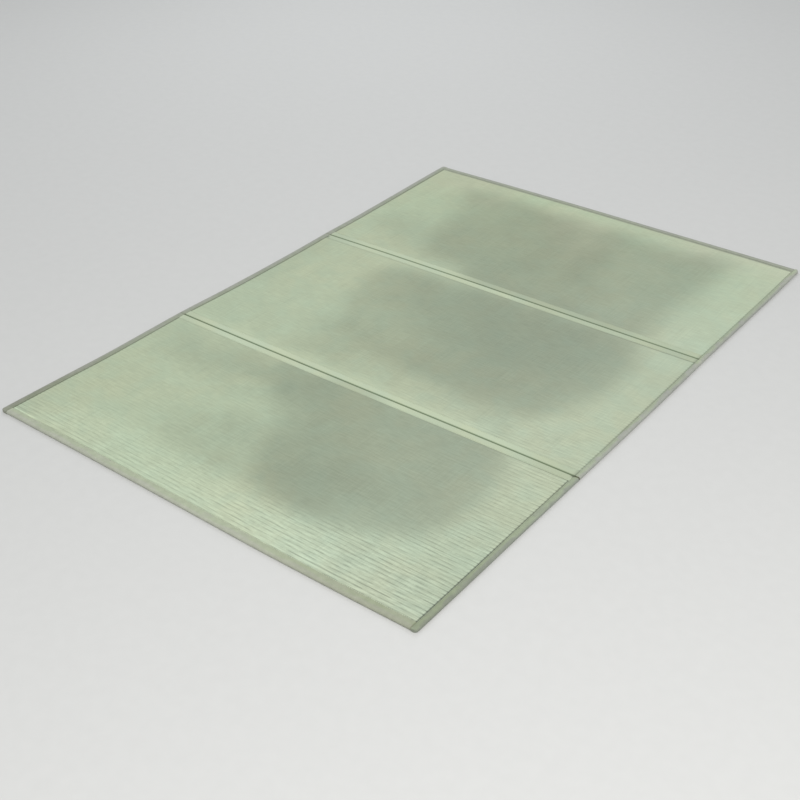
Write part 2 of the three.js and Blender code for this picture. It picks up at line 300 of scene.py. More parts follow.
def within(x, y, rim):
    """The distance to an outline, positive inside it. The distance is the least one to its sides,
    and a place is inside where a line from it crosses an odd number of sides."""
    rim = np.array(rim, float)
    nearest = np.full(x.shape, np.inf)
    inside = np.zeros(x.shape, bool)
    for (ax, ay), (bx, by) in zip(rim, np.roll(rim, -1, axis=0)):
        long, rise = bx - ax, by - ay
        share = np.clip(((x - ax) * long + (y - ay) * rise) / (long**2 + rise**2), 0, 1)
        nearest = np.minimum(nearest, np.hypot(x - ax - share * long, y - ay - share * rise))
        if rise:
            inside ^= ((ay > y) != (by > y)) & (x < long * (y - ay) / rise + ax)
    return np.where(inside, nearest, -nearest)


def smooth_step(share):
    share = np.clip(share, 0, 1)
    return share**2 * (3 - 2 * share)


def light_left(key, x, y):
    """The share of brightness that the darker and paler places leave on a panel: the product of what each leaves.
    """
    x, y = x + 9 * waves(x, y, 150, 3), y + 7 * waves(x, y, 130, 4)
    left = np.ones_like(x)
    for place in TONE_PLACES:
        if place["panel"] == key:
            depth = within(x, y, place["rim"]) / place["soft"]
            left *= 1 - place["takes"] * smooth_step((depth + 1) / 2)
    return left


def tape_light(half, x):
    """The same for one half of a tape, where only the place across the mat counts."""
    left = np.ones_like(x)
    for place in TAPE_TONE_PLACES:
        if place["half"] == half:
            start, end = place["span"]
            depth = np.minimum(x - start, end - x) / place["soft"]
            left *= 1 - place["takes"] * smooth_step((depth + 1) / 2)
    return left


def crispness(x, y, left):
    """How crisp the ribs are, from 0 to 1: most at the near right, least in the darker places."""
    to_right = np.interp(x, CRISP_ACROSS["x"], CRISP_ACROSS["share"])
    at_left, at_right = (np.interp(y, CRISP["y"], CRISP[side]) for side in ("left", "right"))
    crisp = at_left + to_right * (at_right - at_left)
    return crisp * (1 - 0.85 * smooth_step((1 - left) / FLATTEST_AT))


def mesh_object(name, points, faces, uv, look, marks=None):
    """An object at the origin from points in millimetres and an array of four-cornered faces.
    The faces are turned over where the signed volume, a sum of corner products, is negative.
    marks are attributes of the points that the look reads."""
    points = points.reshape(-1, 3) * MM
    a, b, c, d = (points[faces[:, k]] for k in range(4))
    volume = (a * (np.cross(b, c) + np.cross(c, d))).sum()
    if volume < 0:
        faces = faces[:, ::-1]
    mesh = bpy.data.meshes.new(name)
    mesh.from_pydata(points.tolist(), [], faces.tolist())
    layer = mesh.uv_layers.new(name="weave")
    layer.data.foreach_set("uv", uv.reshape(-1, 2)[faces.ravel()].ravel())
    mesh.shade_smooth()
    mesh.set_sharp_from_angle(angle=np.radians(50))
    for mark, values in (marks or {}).items():
        mesh.attributes.new(mark, "FLOAT", "POINT").data.foreach_set("value", values.ravel())
    mesh.materials.append(look)
    piece = bpy.data.objects.new(name, mesh)
    bpy.context.scene.collection.objects.link(piece)
    return piece


def closed_sheet(name, upper, under, uv, look, marks=None):
    """A closed piece between two grids of points of one size, with a wall that joins their rims.
    Each face joins four neighbours of a grid, and each wall face two rim points of both."""
    rows, columns = upper.shape[:2]
    index = np.arange(rows * columns).reshape(rows, columns)
    flat = np.stack([index[:-1, :-1], index[:-1, 1:], index[1:, 1:], index[1:, :-1]], -1).reshape(-1, 4)
    rim = np.concatenate([index[0, :-1], index[:-1, -1], index[-1, :0:-1], index[:0:-1, 0]])
    onward = np.roll(rim, -1)
    below = rows * columns
    wall = np.stack([rim + below, onward + below, onward, rim], -1)
    faces = np.concatenate([flat, flat[:, ::-1] + below, wall])
    points = np.concatenate([upper.reshape(-1, 3), under.reshape(-1, 3)])
    both = {mark: np.concatenate([values.ravel()] * 2) for mark, values in (marks or {}).items()}
    return mesh_object(name, points, faces, np.concatenate([uv.reshape(-1, 2)] * 2), look, both)


def ease(share):
    """A quarter circle from 0 to 1, which rises at once and levels out."""
    share = np.clip(share, 0, 1)
    return np.sqrt(1 - (1 - share) ** 2)


def border(slope, inset, out, kerb):
    """Lines over a pressed border, from the field outwards: their distances past the field, and
    how far each has risen to it. The kerb is how much is left at the foot of the slope. out is
    the way in which the distances are counted."""
    past = slope * np.array([0.12, 0.3, 0.55, 0.8, 1.0])
    distance = np.concatenate([past, [slope + KERB_WIDE, slope + inset]])
    rise = kerb + (1 - kerb) * ease(1 - past / slope)
    return out * distance, np.append(rise, [0.0, 0.0])


def panel(name, key, near, far, near_border, far_border, look, seed):
    """A panel, as a height over a grid of lines across and along it. Over the field the height is
    the rib's crown, one minus a power of the distance from the rib's middle, and each border
    sinks from it to the pressed height along a quarter circle."""
    ribs = RIBS[key]
    near_by, far_by = near_border["width"] + CLEAR + END_SLOPE, far_border["width"] + CLEAR + END_SLOPE
    near_inset = near_border["width"] + CLEAR - near_border["inset"]
    far_inset = far_border["width"] + CLEAR - far_border["inset"]
    near_past, near_rise = border(END_SLOPE, near_inset, -1, KERB)
    far_past, far_rise = border(END_SLOPE, far_inset, 1, KERB)
    side_past, side_rise = border(SIDE_SLOPE, 2 * KERB_WIDE, 1, 0.0)
    lines = len(near_past)

    phase = np.append(np.add.outer(np.arange(ribs), RIB_PHASES).ravel(), ribs)
    row_share = np.concatenate([np.zeros(lines), phase / ribs, np.ones(lines)])
    row_past = np.concatenate([near_past[::-1], np.zeros(len(phase)), far_past])
    row_rise = np.concatenate([near_rise[::-1], np.ones(len(phase)), far_rise])
    row_phase = np.concatenate([np.zeros(lines), phase, np.full(lines, ribs)])

    inner = np.linspace(0, 1, COLUMNS)
    column_share = np.concatenate([np.zeros(lines), inner, np.ones(lines)])
    column_past = np.concatenate([-side_past[::-1], np.zeros(COLUMNS), side_past])
    column_rise = np.concatenate([side_rise[::-1], np.ones(COLUMNS), side_rise])

    y = near(0.0) + np.zeros((len(row_share), len(column_share)))
    for _ in range(4):
        left = left_lip(y) + CLEAR + SIDE_SLOPE
        right = right_lip(y) - CLEAR - SIDE_SLOPE
        x = left + column_share * (right - left) + column_past
        x[:, 0] = left_edge(y[:, 0]) + PANEL_INSET
        x[:, -1] = right_edge(y[:, -1]) - PANEL_INSET
        low, high = near(x) + near_by, far(x) - far_by
        y = low + row_share[:, None] * (high - low) + row_past[:, None]

    crown = 1 - np.abs(2 * (row_phase % 1) - 1) ** RIB_FULLNESS
    lumps = 0.22 * waves(x, y, 160, seed) + 0.10 * waves(x, y * 3, 60, seed + 1)
    left = light_left(key, x, y)
    crisp = crispness(x, y, left)
    depth = (TOP - GROOVE_Z) * (FLAT_SHARE + (1 - FLAT_SHARE) * crisp)
    field = TOP - depth * (1 - crown[:, None]) + lumps - 0.2
    rise = row_rise[:, None] * column_rise
    top = PRESSED_TOP + rise * (field - PRESSED_TOP)
    near_lift, far_lift = near_border["under"], far_border["under"]
    lift = np.concatenate([np.full(lines, near_lift), np.zeros(len(phase)), np.full(lines, far_lift)])
    side_lift = PRESSED_UNDER * (1 - column_rise)
    bottom = np.maximum(lift[:, None] * (1 - row_rise[:, None]), side_lift)
    uv = np.stack([x * MM, row_phase[:, None] + np.zeros_like(x)], -1)
    lip = np.minimum(x - left_lip(y), (right_lip(y) - x) * LIP_SHADE_NEAR[key]) * MM
    # Painted shade in the rush beside the end bands and tapes, darker towards the right on a panel's far side
    at_near = np.exp(-((y - near(x) - near_border["width"]) / SEAM_WIDE) ** 2) * near_border["dark"]
    at_far = np.exp(-((far(x) - far_border["width"] - y) / SEAM_WIDE) ** 2) * far_border["dark"]
    at_far *= 0.7 + 0.9 * smooth_step((x - 300) / 250)
    # A painted highlight in the rush along the front band's left end, with a line of painted shade beyond it
    from_near = y - near(x) - near_border["width"]
    glint = np.exp(-((from_near - 3) / 3) ** 2) - 0.4 * np.exp(-((from_near - 9) / 2.5) ** 2)
    glint *= near_border["glint"] * smooth_step((-560 - x) / 60)
    marks = {"light": left, "crisp": crisp, "from_lip": lip, "seam_shade": np.maximum(at_near, at_far) - glint,
             "lip_shade": np.where(x < 0, LIP_SHADE_DARK["left"], np.interp(y, *LIP_SHADE_DARK["right"]))}
    return closed_sheet(name, np.stack([x, y, top], -1), np.stack([x, y, bottom], -1), uv, look, marks)


def band_section(width):
    """The binding's section from its upper lip round the outer edge to its lower lip: the
    outside and the inside of the cloth, as distances in from the edge and heights. The edge is
    half an ellipse, and the top falls from its crown to the lip as a parabola."""
    top = np.linspace(1, 0, 9)[:-1]
    turn = np.radians(np.linspace(90, -90, 13))
    under = np.linspace(0, 1, 4)[1:]
    sections = []
    for depth in (0.0, CLOTH):
        reach = EDGE_ROUND - (EDGE_ROUND - depth) * np.cos(turn)
        height = TOP / 2 + (TOP / 2 - depth) * np.sin(turn)
        flat = EDGE_ROUND + top * (width - EDGE_ROUND)
        fall = LIP_DROP * np.clip((flat / width - CROWN_SHARE) / (1 - CROWN_SHARE), 0, 1) ** 2
        into = np.concatenate([flat, reach, EDGE_ROUND + under * (width - EDGE_ROUND)])
        rise = np.concatenate([TOP - depth - fall * (depth == 0), height, np.full(3, depth)])
        sections.append((into, rise))
    return sections


def run_of(section):
    """The distance along a section from its first point to each point."""
    into, rise = section
    return np.concatenate([[0], np.cumsum(np.hypot(np.diff(into), np.diff(rise)))])


def corner_inset(distance):
    """How far a rounded corner draws the outer edge in, at a distance from the band's end."""
    short = np.clip(CORNER_RADIUS - distance, 0, None)
    return CORNER_RADIUS - np.sqrt(CORNER_RADIUS**2 - short**2)


def pucker(run, seed):
    """How much the stitches draw the cloth down: short waves along the run, and slow ones."""
    return 0.09 * np.sin(2 * np.pi * run / STITCH_PITCH) + 0.16 * waves(run, 0 * run, 70, seed)


def side_band(name, key, edge, inward, start, end, folds, look, seed):
    """A band round a side. Its section is carried along the edge, its outer edge is drawn in
    round a mat corner, and its folded ends are filled and rounded off. Where it crosses a fold it
    is creased, by a bell curve of the distance from the fold."""
    width = BAND[key]
    outside, inside = band_section(width)
    from_y, to_y = start["curve"](edge(start["y"])), end["curve"](edge(end["y"]))
    nose = np.array([0, 0.25, 0.7, 1.3, END_FOLD, END_FOLD + 0.05, 3.2, 4.6, 6.2, CORNER_RADIUS])
    long = to_y - from_y
    middle = np.linspace(CORNER_RADIUS, long - CORNER_RADIUS, int(long / STATION))[1:-1]
    crossing = [fold(edge(fold(0.0))) - from_y for fold in folds]
    steps = [at + np.array(CREASE_STEPS) for at in crossing]
    for at in crossing:
        middle = middle[np.abs(middle - at) > CREASE_STEPS[-1]]
    along = np.sort(np.concatenate([nose, middle, long - nose[::-1], *steps]))
    creased = sum(np.exp(-((along - at) / CREASE_WIDE) ** 2) for at in crossing) + 0 * along
    from_end = np.minimum(along, long - along)
    at_start = along < long / 2
    corner = np.where(at_start, start["corner"], end["corner"])
    drawn = corner_inset(from_end) * corner
    fill = from_end <= END_FOLD
    tip = 0.9 * (1 - ease(from_end / 1.3))

    share = along / long
    last = len(outside[0]) - 1
    lip_height = TOP - CLOTH - (TOP - 2 * CLOTH) * np.arange(last + 1) / last
    grids = []
    for into, rise in (outside, inside):
        if rise is inside[1]:
            into = np.where(fill[:, None], width, into)
            rise = np.where(fill[:, None], lip_height, rise)
        else:
            into = into + 0 * share[:, None]
            rise = rise + 0 * share[:, None]
            on_top = np.clip((into - EDGE_ROUND) / 4, 0, 1) * (rise > TOP / 2)
            sunk = pucker(along, seed) * (from_end > 4) - CREASE_DEEP * creased
            rise = rise + on_top * sunk[:, None]
            rise = TOP / 2 + (rise - TOP / 2) * (1 - tip[:, None] / 5)
            into = into + tip[:, None] * (1 - into / width)
        into = drawn[:, None] + into * (width - drawn[:, None]) / width
        x = edge(0.0) + inward * into
        for _ in range(4):
            low, high = start["curve"](x), end["curve"](x)
            y = low + share[:, None] * (high - low)
            x = edge(y) + inward * into
        grids.append(np.stack([x, y, rise], -1))
    uv = np.stack(np.broadcast_arrays(along[:, None] * MM, run_of(outside) * MM), -1)
    # The dark mark is painted shade: at cut ends, in the fold creases, in the tuck by the lip, and towards the
    # front; the tone places add darker and paler stretches
    cut = np.exp(-(from_end / 1.8) ** 2) * (1 - corner)
    dim = FRONT_DIM[key] * smooth_step(1 - along / FRONT_DIM_OVER)
    for place in BAND_TONE_PLACES:
        if place["band"] == key:
            dim += place["takes"] * np.exp(-((from_y + along - place["at"]) / place["wide"]) ** 2)
    spread = np.ones(last + 1)
    by_lip = np.exp(-((width - outside[0]) / TUCKED_WIDE) ** 2) * (outside[1] > TOP / 2)
    tuck_shade = TUCKED_SHADE[key] * np.exp(-(from_end / TUCKED_LONG) ** 2) * (1 - corner)
    marks = {
        "dark": (0.75 * cut + CREASE_SHADE[key] * creased + dim)[:, None] * spread + tuck_shade[:, None] * by_lip,
        "tip": (np.exp(-from_end / 14) * corner * TIP[key])[:, None] * spread,
    }
    return closed_sheet(name, *grids, uv, look, marks)


def across_stations():
    """Shares of the way from the left binding's lip to the right one's, with a few more of them
    close to both."""
    close = np.array(END_STEPS) / (2 * HALF_WIDTH)
    return np.sort(np.concatenate([np.linspace(0, 1, int(2 * HALF_WIDTH / STATION)), close, 1 - close]))


def between_lips(share, y):
    """Places across the mat, clear of both side bindings."""
    left, right = left_lip(y) + CLEAR, right_lip(y) - CLEAR
    return left + share * (right - left)


def end_band(name, edge, inward, width, look, seed):
    """A band round an end of the mat: its section is carried across, between the side bands."""
    outside, inside = band_section(width)
    share = across_stations()[:, None]
    grids = []
    for into, rise in (outside, inside):
        y = edge(0.0) + inward * into + 0 * share
        for _ in range(4):
            x = between_lips(share, y)
            y = edge(x) + inward * into
        if rise is outside[1]:
            on_top = np.clip((into - EDGE_ROUND) / 4, 0, 1) * (rise > TOP / 2)
            rise = rise + on_top * pucker(x, seed)
        grids.append(np.stack(np.broadcast_arrays(x, y, rise), -1))
    x = grids[0][..., 0]
    uv = np.stack(np.broadcast_arrays(x * MM, run_of(outside) * MM), -1)
    # Painted shade: the front band darker towards the right end, and in the line where it goes under the side band
    dim = END_DIM * smooth_step((x - 50) / 600) + END_LINE * np.exp(-((x[-1] - x) / END_LINE_WIDE) ** 2)
    dim = dim * (inward > 0)
    marks = {"dark": dim, "tip": 0.4 * np.exp(-(x - x[0]) / 8)}
    return closed_sheet(name, *grids, uv, look, marks)


def tape(name, key, fold, slit, look, seed):
    """The tape over a fold. From the slit's floor it rises along a steep curve, turns over the
    panel's edge and lies flat to its own lip, and the other half mirrors it."""
    way = {
        "out": (slit * 0.7, slit * 0.8, slit * 1.2, slit * 1.6, slit * 2.2, 3.3, 4.5, 7, 11, 16, 20),
        "depth": (5.0, 4.0, 2.4, 1.4, 0.7, 0.25, 0.06, 0.0, 0.0, 0.0, 0.0),
        "under": (slit + 0.8, slit + 1.0, slit + 1.3, slit + 1.5, slit + 1.8, 3.4, 4, 7, 11, 16, 20),
        "under_depth": (6.1, 5.0, 3.0, 2.4, 1.9, 1.3, 1.1, 1.1, 1.1, 1.1, 1.1),
    }
    lip = {"out": (22.5, 23.6, TAPE_HALF), "depth": (0.0, 0.1, LIP_DROP)}
    out = np.array(way["out"] + lip["out"])
    depth = np.array(way["depth"] + lip["depth"])
    under = np.array(way["under"] + lip["out"])
    under_depth = np.array(way["under_depth"] + (TAPE_CLOTH,) * 3)
    share = across_stations()[:, None]
    grids = []
    for offset, sunk in ((out, depth), (under, under_depth)):
        offset = np.concatenate([-offset[::-1], offset])
        sunk = np.concatenate([sunk[::-1], sunk])
        y = fold(0.0) + offset + 0 * share
        for _ in range(4):
            x = between_lips(share, y)
            y = fold(x) + offset
        rise = TAPE_TOP - sunk + 0 * y
        if sunk[0] == LIP_DROP:
            flat = np.clip((np.abs(offset) - 5) / 5, 0, 1)
            rise = rise + flat * pucker(x, seed)
        grids.append(np.stack([x, y, rise], -1))
    x, y = grids[0][..., 0], grids[0][..., 1]
    uv = np.stack([x * MM, (y - fold(x)) * MM], -1)
    light = np.where(y < fold(x), tape_light(key + "_before", x), tape_light(key + "_after", x))
    from_end, past = np.abs(x - x[-1 if key == "near" else 0]), y - fold(x)
    # Painted shade at the tucked-in end, and a line of painted shade beside the binding at the right end
    spot = TAPE_END_SHADE[key]["dark"] * np.exp(-((past - TAPE_END_SHADE[key]["at"]) / TAPE_END_SHADE[key]["long"]) ** 2)
    spot *= np.exp(-(from_end / TAPE_END_SHADE[key]["wide"]) ** 2)
    seam_shade = np.interp(past, (0, 3), END_SEAM_SHADE[key]) * np.exp(-((x[-1] - x - 1.5) / 3) ** 2)
    spot = np.maximum(spot, seam_shade)
    return closed_sheet(name, *grids, uv, look, {"light": light, "spot": spot})


def stitches(name, line, look, seed, scale=1.0):
    """A row of short thread runs along a line of points: each is a small six-sided bead, longer
    than it is thick, laid along the line and a little unevenly."""
    draw = np.random.default_rng(seed)
    step = np.diff(line, axis=0)
    run = np.concatenate([[0], np.cumsum(np.linalg.norm(step, axis=1))])
    at = np.arange(STITCH_PITCH, run[-1] - STITCH_PITCH, STITCH_PITCH)
    at = at + draw.uniform(-0.3, 0.3, len(at))
    centre = np.stack([np.interp(at, run, line[:, k]) for k in range(3)], -1)
    ahead = np.stack([np.interp(at + 1, run, line[:, k]) for k in range(3)], -1) - centre
    ahead /= np.linalg.norm(ahead, axis=1, keepdims=True)
    side = np.cross([0, 0, 1], ahead)
    side /= np.linalg.norm(side, axis=1, keepdims=True)
    up = np.cross(ahead, side)

    rings = np.array([(-0.5, 0.25), (-0.36, 0.8), (0.0, 1.0), (0.36, 0.8), (0.5, 0.25)])
    turn = np.radians(np.arange(0, 360, 60))
    thick = scale * STITCH_THICK / 2 * draw.uniform(0.85, 1.15, len(at))
    length = STITCH_LONG * draw.uniform(0.85, 1.1, len(at))
    along = rings[:, 0][:, None] * length[:, None, None]
    wide = rings[:, 1][:, None] * thick[:, None, None]
    points = (
        centre[:, None, None]
        + (along + 0 * turn)[..., None] * ahead[:, None, None]
        + (wide * np.cos(turn))[..., None] * side[:, None, None]
        + (wide * np.sin(turn))[..., None] * up[:, None, None]
    )
    corner = np.arange(6)
    ring = np.arange(4)[:, None] * 6
    quads = np.stack([ring + corner, ring + (corner + 1) % 6, ring + 6 + (corner + 1) % 6, ring + 6 + corner], -1)
    caps = np.array([(0, 5, 4, 3), (0, 3, 2, 1), (24, 25, 26, 27), (24, 27, 28, 29)])
    one = np.concatenate([quads.reshape(-1, 4), caps])
    faces = (one + 30 * np.arange(len(at))[:, None, None]).reshape(-1, 4)
    uv = np.zeros((points.size // 3, 2))
    return mesh_object(name, points, faces, uv, look)


def side_line(edge, inward, width, from_y, to_y):
    """Points along a side band's stitch row."""
    y = np.arange(from_y, to_y, 4.0)
    x = edge(y) + inward * (width - STITCH_IN)
    return np.stack([x, y, np.full_like(y, TOP - 0.05)], -1)


def across_line(curve, offset, height):
    """Points along a stitch row that runs across the mat, at an offset from a curve."""
    x = np.arange(-HALF_WIDTH + 40, HALF_WIDTH - 25, 4.0)
    return np.stack([x, curve(x) + offset, np.full_like(x, height)], -1)


class Look:
    """A material that is written down as calls: each adds a node, joins or sets its inputs, and
    returns its output."""

    def __init__(self, name):
        self.material = bpy.data.materials.new(name)
        self.material.use_nodes = True
        self.tree = self.material.node_tree
        self.shader = self.tree.nodes["Principled BSDF"]

    def fill(self, socket, value):
        if isinstance(value, bpy.types.NodeSocket):
            self.tree.links.new(value, socket)
        else:
            socket.default_value = value

    def add(self, kind, inputs, output=0, **settings):
        node = self.tree.nodes.new("ShaderNode" + kind)
        for key, value in settings.items():
            setattr(node, key, value)
        for key, value in inputs.items():
            self.fill(node.inputs[key], value)
        return node.outputs[output]

    def math(self, operation, *values):
        return self.add("Math", dict(enumerate(values)), operation=operation)

    def ramp(self, value, low, high, to_low=0.0, to_high=1.0, smooth=True):
        kind = "SMOOTHSTEP" if smooth else "LINEAR"
        inputs = {0: value, 1: low, 2: high, 3: to_low, 4: to_high}
        return self.add("MapRange", inputs, interpolation_type=kind)

    def vector(self, x, y, z=0.0):
        return self.add("CombineXYZ", {0: x, 1: y, 2: z})

    def noise(self, vector, scale, detail=2.0, rough=0.5):
        inputs = {"Vector": vector, "Scale": scale, "Detail": detail, "Roughness": rough}
        return self.add("TexNoise", inputs)

    def blend(self, share, a, b, kind="MIX"):
        node = self.tree.nodes.new("ShaderNodeMix")
        node.data_type = "RGBA"
        node.blend_type = kind
        self.fill(node.inputs["Factor"], share)
        self.fill(node.inputs[6], a)
        self.fill(node.inputs[7], b)
        return node.outputs[2]

    def mark(self, name):
        return self.add("Attribute", {}, output=2, attribute_name=name)

    def shade(self, colour, amount):
        """The colour times one grey amount."""
        return self.blend(1.0, colour, self.vector(amount, amount, amount), "MULTIPLY")

    def finish(self, colour, height, roughness, distance=MM, sheen=0.0):
        bump = self.add("Bump", {"Height": height, "Distance": distance, "Strength": 1.0})
        self.fill(self.shader.inputs["Base Color"], colour)
        self.fill(self.shader.inputs["Normal"], bump)
        self.shader.inputs["Roughness"].default_value = roughness
        self.shader.inputs["Specular IOR Level"].default_value = 0.3
        self.shader.inputs["Sheen Weight"].default_value = sheen
        return self.material


def srgb(red, green, blue):
    """A screen colour, each part from 0 to 255, as linear light."""
    parts = np.array([red, green, blue]) / 255
    light = np.where(parts <= 0.04045, parts / 12.92, ((parts + 0.055) / 1.055) ** 2.4)
    return (*light.tolist(), 1.0)


def uv_parts(look):
    parts = look.tree.nodes.new("ShaderNodeSeparateXYZ")
    look.fill(parts.inputs[0], look.add("UVMap", {}, uv_map="weave"))
    return parts.outputs[0], parts.outputs[1]


def object_place(look):
    return look.add("TexCoord", {}, output=3)


def rush_look():
    """Rush strands 1.2 mm wide that run across the ribs and dip in turn at each groove. The
    grooves carry painted shade broken into dashes, and run out in notches of painted shade at the side bindings;
    the ribs carry painted highlights in streaks."""
    look = Look("rush_facing")
    across, rib = uv_parts(look)
    place = object_place(look)
    from_groove = look.math("PINGPONG", rib, 0.5)
    groove = look.ramp(from_groove, 0.03, 0.21, 1.0, 0.0)
    groove_number = look.math("ROUND", rib)

    strand = look.math("MULTIPLY", across, 1 / (1.2 * MM))
    round_strand = look.math("MULTIPLY", look.math("PINGPONG", strand, 0.5), 2.0)
    turn_about = look.ramp(look.math("PINGPONG", strand, 1.0), 0.35, 0.65)
    strand_tone = look.noise(look.vector(strand, look.math("MULTIPLY", rib, 0.07)), 1.0, 1.0)
    by_groove = look.vector(look.math("MULTIPLY", across, 26.0), look.math("MULTIPLY", groove_number, 3.7))
    broken = look.ramp(look.noise(by_groove, 1.0, 2.0), 0.36, 0.6, 0.2, 1.0)
    by_rib = look.vector(look.math("MULTIPLY", across, 24.0), look.math("MULTIPLY", rib, 2.6))
    streaks = look.noise(by_rib, 1.0, 3.0)

    warm = look.ramp(look.noise(place, 2.2, 4.0), 0.35, 0.65)
    cool = look.ramp(look.noise(place, 14.0, 3.0), 0.4, 0.66)
    mottled = look.noise(place, 11.0, 4.0, 0.6)
    colour = look.blend(warm, srgb(173, 186, 159), srgb(178, 187, 158))
    colour = look.blend(look.math("MULTIPLY", cool, 0.35), colour, srgb(171, 189, 164))
    to_right, to_back = (look.add("SeparateXYZ", {0: place}, output=axis) for axis in (0, 1))
    faded = look.math("MULTIPLY", look.ramp(to_back, 0.45, 0.97, 0.0, 0.9), warm)
    colour = look.blend(faded, colour, srgb(182, 187, 163))
    blue = look.math("MULTIPLY", look.ramp(to_right, -0.3, 0.6, 0.99, 1.045),
                     look.ramp(to_back, 0.3, 0.8, 1.0, 0.965))
    blue = look.math("MULTIPLY", blue, look.ramp(to_back, -0.98, -0.78, 1.02, 1.0))
    colour = look.blend(1.0, colour, look.vector(1.0, 1.0, blue), "MULTIPLY")
    colour = look.shade(colour, look.ramp(mottled, 0.3, 0.7, 0.955, 1.015, smooth=False))
    colour = look.shade(colour, look.ramp(strand_tone, 0.25, 0.75, 0.94, 1.06, smooth=False))
    colour = look.shade(colour, look.ramp(streaks, 0.32, 0.68, 0.945, 1.055, smooth=False))
    crisp = look.mark("crisp")
    # Painted highlights in streaks along the ribs, stronger where the ribs are crisp
    ridge_highlight = look.math("MULTIPLY", crisp, look.ramp(streaks, 0.42, 0.62, 0.0, 0.14))
    colour = look.shade(colour, look.math("ADD", 1.0, ridge_highlight))
    # Painted shade in the grooves, broken into dashes, deeper where the ribs are crisp
    groove_shade_depth = look.ramp(crisp, 0.0, 1.0, 0.01, 0.36, smooth=False)
    dark = look.math("MULTIPLY", look.math("MULTIPLY", groove, broken), groove_shade_depth)
    colour = look.shade(colour, look.math("SUBTRACT", 1.0, dark))
    # Darker and paler places from the tone table
    colour = look.shade(colour, look.mark("light"))

    # A line of painted shade in the rush beside the side bindings' lips, wider at each groove
    lip_shade = look.math("MULTIPLY_ADD", groove, 1.2 * MM, 4.7 * MM)
    beside = look.math("DIVIDE", look.mark("from_lip"), lip_shade)
    lip_shaded = look.math("MULTIPLY", look.ramp(beside, 0.35, 1.0, 0.76, 0.0), look.mark("lip_shade"))
    colour = look.shade(colour, look.math("SUBTRACT", 1.0, lip_shaded))
    # Near the lips the rib ends get a painted highlight on the ridges and painted shade in the grooves
    rib_end_light_and_shade = look.math("MULTIPLY", look.ramp(beside, 0.6, 1.6, 1.0, 0.0), look.ramp(groove, 0.0, 0.6, 0.05, -0.06))
    colour = look.shade(colour, look.math("MULTIPLY_ADD", rib_end_light_and_shade, look.ramp(streaks, 0.35, 0.6), 1.0))
    seam_shade = look.math("MULTIPLY", look.mark("seam_shade"), look.ramp(streaks, 0.3, 0.6, 0.6, 1.0))
    colour = look.shade(colour, look.math("SUBTRACT", 1.0, seam_shade))

    sunk = look.math("MULTIPLY", look.ramp(crisp, 0.0, 0.35, 0.15, 1.0), -0.25)
    weave = look.math("MULTIPLY", look.math("MULTIPLY", groove, turn_about), sunk)
    height = look.math("MULTIPLY_ADD", round_strand, 0.10, weave)
    return look.finish(colour, height, 0.62, sheen=0.05)


def cloth_height(look, along, across, pitch):
    """A plain weave: two crossed rows of rounded threads, one over the other in turn."""
    warp = look.math("PINGPONG", look.math("MULTIPLY", along, 1 / (pitch * MM)), 0.5)
    weft = look.math("PINGPONG", look.math("MULTIPLY", across, 1 / (pitch * MM)), 0.5)
    return look.math("ADD", warp, weft)


def binding_look(key, top, side, lip, row, grey_from, patchy):
    """Plain woven cloth, greener on top and greyer round the outer edge and in patches, with painted
    shade where it is cut or creased. Its lip is a painted highlight or a line of painted shade, its row of
    stitches a brighter or darker line, and the front band has painted shade towards the mat's right end."""
    look = Look("binding_" + key)
    along, across = uv_parts(look)
    place = object_place(look)
    weave = cloth_height(look, along, across, 0.9)
    patches = look.ramp(look.noise(place, 9.0, 3.0), 0.42, 0.6)
    from_lip = look.math("MULTIPLY_ADD", patches, 6 * MM, across)
    greyer = look.ramp(from_lip, grey_from * MM, (grey_from + 9) * MM)
    spots = look.ramp(look.noise(place, 13.0, 2.0), 0.52, 0.62, 0.0, patchy)
    greyer = look.math("MAXIMUM", greyer, look.math("MAXIMUM", spots, look.mark("tip")))
    colour = look.blend(greyer, srgb(*top), srgb(*side))
    worn = look.noise(place, 70.0, 3.0)
    colour = look.shade(colour, look.ramp(worn, 0.3, 0.7, 0.93, 1.06, smooth=False))
    colour = look.shade(colour, look.ramp(weave, 0.1, 0.9, 0.9, 1.05, smooth=False))
    # The lip: a factor above 1 is a painted highlight, below 1 a line of painted shade
    colour = look.shade(colour, look.ramp(across, 0.8 * MM, 2.4 * MM, lip, 1.0))
    from_row = look.math("ABSOLUTE", look.math("SUBTRACT", across, ROW_IN * MM))
    colour = look.shade(colour, look.ramp(from_row, 0.8 * MM, 2.2 * MM, row, 1.0))
    colour = look.shade(colour, look.math("ADD", 1.0, look.math("MULTIPLY", look.mark("tip"), 0.14)))
    # Painted shade from the dark mark, which also turns the colour yellower
    dark = look.mark("dark")
    colour = look.shade(colour, look.math("SUBTRACT", 1.0, dark))
    yellower = look.math("MULTIPLY_ADD", look.math("ABSOLUTE", dark), -0.3, 1.0)
    colour = look.blend(1.0, colour, look.vector(1.0, 1.0, yellower), "MULTIPLY")
    return look.finish(colour, look.math("MULTIPLY", weave, 0.18), 0.8, sheen=0.1)


